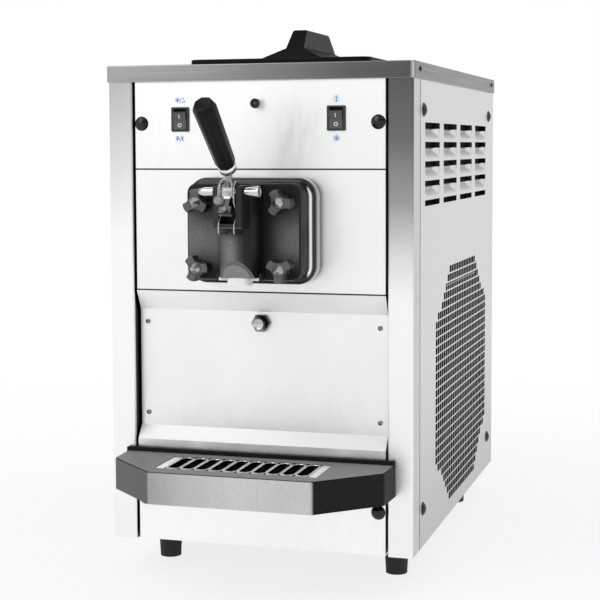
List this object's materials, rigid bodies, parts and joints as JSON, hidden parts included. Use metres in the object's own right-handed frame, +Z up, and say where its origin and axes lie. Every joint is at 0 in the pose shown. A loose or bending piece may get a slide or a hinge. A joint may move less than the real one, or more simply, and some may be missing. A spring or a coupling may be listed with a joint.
{
  "type": "soft serve ice cream maker",
  "caption": "Countertop soft-serve ice cream maker: steel cabinet on rubber feet, lidded mix hopper, freezing cylinder, black door with draw lever and star nozzle, drip tray, vented sides.",
  "frame": {"origin": "on the floor under the middle of the machine's bounding box", "axes": "+X to the machine's right as seen from the front, +Y to its back, +Z up; the front faces -Y"},
  "size_m": [0.409, 0.8236, 0.7148],
  "materials": {
    "satin_steel": "fine satin brushed",
    "polished_steel": "bright polished",
    "rim_steel": "brushed along the rim",
    "plated_steel": "zinc plated sheet",
    "chrome": "polished",
    "spring_steel": "bright drawn wire",
    "black_moulding": "fine grained",
    "black_gloss": "smooth semi-gloss",
    "rocker_grey": "smooth",
    "white_plastic": "smooth food-grade",
    "lamp_lens": "dark red",
    "black_rubber": "matt",
    "foam": "cut foam",
    "copper": "drawn tube",
    "fin_aluminium": "bare fins",
    "black_enamel": "gloss enamel",
    "grey_enamel": "machine enamel"
  },
  "bodies": {
    "cabinet": {"base_pan": "plated_steel", "rubber_feet": "black_rubber", "front_posts": "polished_steel", "rear_posts": "plated_steel", "machine_deck": "plated_steel", "top_cap": "rim_steel", "control_panel": "polished_steel", "freezer_panel": "polished_steel", "splash_panel": "polished_steel", "kick_panel": "polished_steel", "left_side_panel": "satin_steel", "right_side_panel": "satin_steel", "back_panel": "satin_steel", "cord_gland": "black_moulding", "dome_screws": "black_gloss", "panel_screws": "chrome", "switch_housings": "black_gloss", "indicator_bezel": "chrome", "indicator_lens": "lamp_lens", "control_box": "plated_steel", "mix_hopper": "polished_steel", "air_tube": "white_plastic", "freezing_cylinder": "polished_steel", "evaporator_jacket": "copper", "barrel_insulation": "foam", "cylinder_flange": "polished_steel", "shaft_seal": "black_rubber", "gearbox": "grey_enamel", "drive_motor": "grey_enamel", "door_studs": "chrome", "dispensing_door": "black_moulding", "door_gasket": "black_rubber", "star_nozzle": "white_plastic", "pivot_pin": "chrome", "return_spring": "spring_steel", "drip_tube": "white_plastic", "drain_cap": "chrome", "compressor": "black_enamel", "condenser": "fin_aluminium", "fan_shroud": "plated_steel", "fan_motor": "black_enamel", "refrigerant_lines": "copper"},
    "lid": {"hopper_lid": "black_gloss"},
    "lever": {"draw_lever": "chrome", "lever_grip": "black_gloss"},
    "thumb_screw": {"stop_screw": "chrome"},
    "piston": {"draw_piston": "white_plastic", "piston_seals": "black_rubber"},
    "left_rocker": {"left_switch_rocker": "rocker_grey"},
    "right_rocker": {"right_switch_rocker": "rocker_grey"},
    "tray": {"drip_tray": "black_moulding"},
    "grid": {"drip_grid": "polished_steel"},
    "rotor": {"beater": "polished_steel", "scraper_blades": "white_plastic", "drive_shaft": "chrome"},
    "cooling_fan": {"fan": "fin_aluminium"},
    "top_left_knob": {"knob_top_left": "black_moulding"},
    "top_right_knob": {"knob_top_right": "black_moulding"},
    "bottom_left_knob": {"knob_bottom_left": "black_moulding"},
    "bottom_right_knob": {"knob_bottom_right": "black_moulding"}
  },
  "joints": [
    {"name": "lid_lift", "type": "slide", "parent": "cabinet", "child": "lid", "axis": [0, 0, 1], "range_m": [0, 0.15]},
    {"name": "lever_draw", "type": "hinge", "parent": "cabinet", "child": "lever", "pos_m": [0, -0.31725, 0.503], "axis": [1, 0, 0], "range_deg": [0, 40], "stiffness_Nm_per_rad": 0.8, "springref_deg": -28.65, "deforming": ["return_spring"]},
    {"name": "piston_lift", "type": "slide", "parent": "cabinet", "child": "piston", "axis": [0, 0, 1], "range_m": [0, 0.024]},
    {"name": "stop_screw_turn", "type": "hinge", "parent": "lever", "child": "thumb_screw", "pos_m": [0, -0.33079, 0.48046], "axis": [0, -0.8616, 0.5075], "continuous": true},
    {"name": "left_switch_rock", "type": "hinge", "parent": "cabinet", "child": "left_rocker", "pos_m": [-0.1025, -0.20325, 0.591], "axis": [-1, 0, 0], "range_deg": [0, 24]},
    {"name": "right_switch_rock", "type": "hinge", "parent": "cabinet", "child": "right_rocker", "pos_m": [0.1025, -0.20325, 0.591], "axis": [-1, 0, 0], "range_deg": [0, 24]},
    {"name": "top_left_knob_turn", "type": "hinge", "parent": "cabinet", "child": "top_left_knob", "pos_m": [-0.053, -0.26625, 0.4892], "axis": [0, 1, 0], "continuous": true},
    {"name": "top_right_knob_turn", "type": "hinge", "parent": "cabinet", "child": "top_right_knob", "pos_m": [0.053, -0.26625, 0.4892], "axis": [0, 1, 0], "continuous": true},
    {"name": "bottom_left_knob_turn", "type": "hinge", "parent": "cabinet", "child": "bottom_left_knob", "pos_m": [-0.053, -0.26625, 0.4087], "axis": [0, 1, 0], "continuous": true},
    {"name": "bottom_right_knob_turn", "type": "hinge", "parent": "cabinet", "child": "bottom_right_knob", "pos_m": [0.053, -0.26625, 0.4087], "axis": [0, 1, 0], "continuous": true},
    {"name": "tray_slide", "type": "slide", "parent": "cabinet", "child": "tray", "axis": [0, -1, 0], "range_m": [0, 0.13]},
    {"name": "grid_lift", "type": "slide", "parent": "tray", "child": "grid", "axis": [0, 0, 1], "range_m": [0, 0.05]},
    {"name": "beater_spin", "type": "hinge", "parent": "cabinet", "child": "rotor", "pos_m": [0, -0.21025, 0.449], "axis": [0, 1, 0], "continuous": true},
    {"name": "fan_spin", "type": "hinge", "parent": "cabinet", "child": "cooling_fan", "pos_m": [0.118, 0.12725, 0.2175], "axis": [1, 0, 0], "continuous": true}
  ],
  "couplings": [
    {"joint": "piston_lift", "follows": "lever_draw", "m_per_rad": 0.034369}
  ]
}
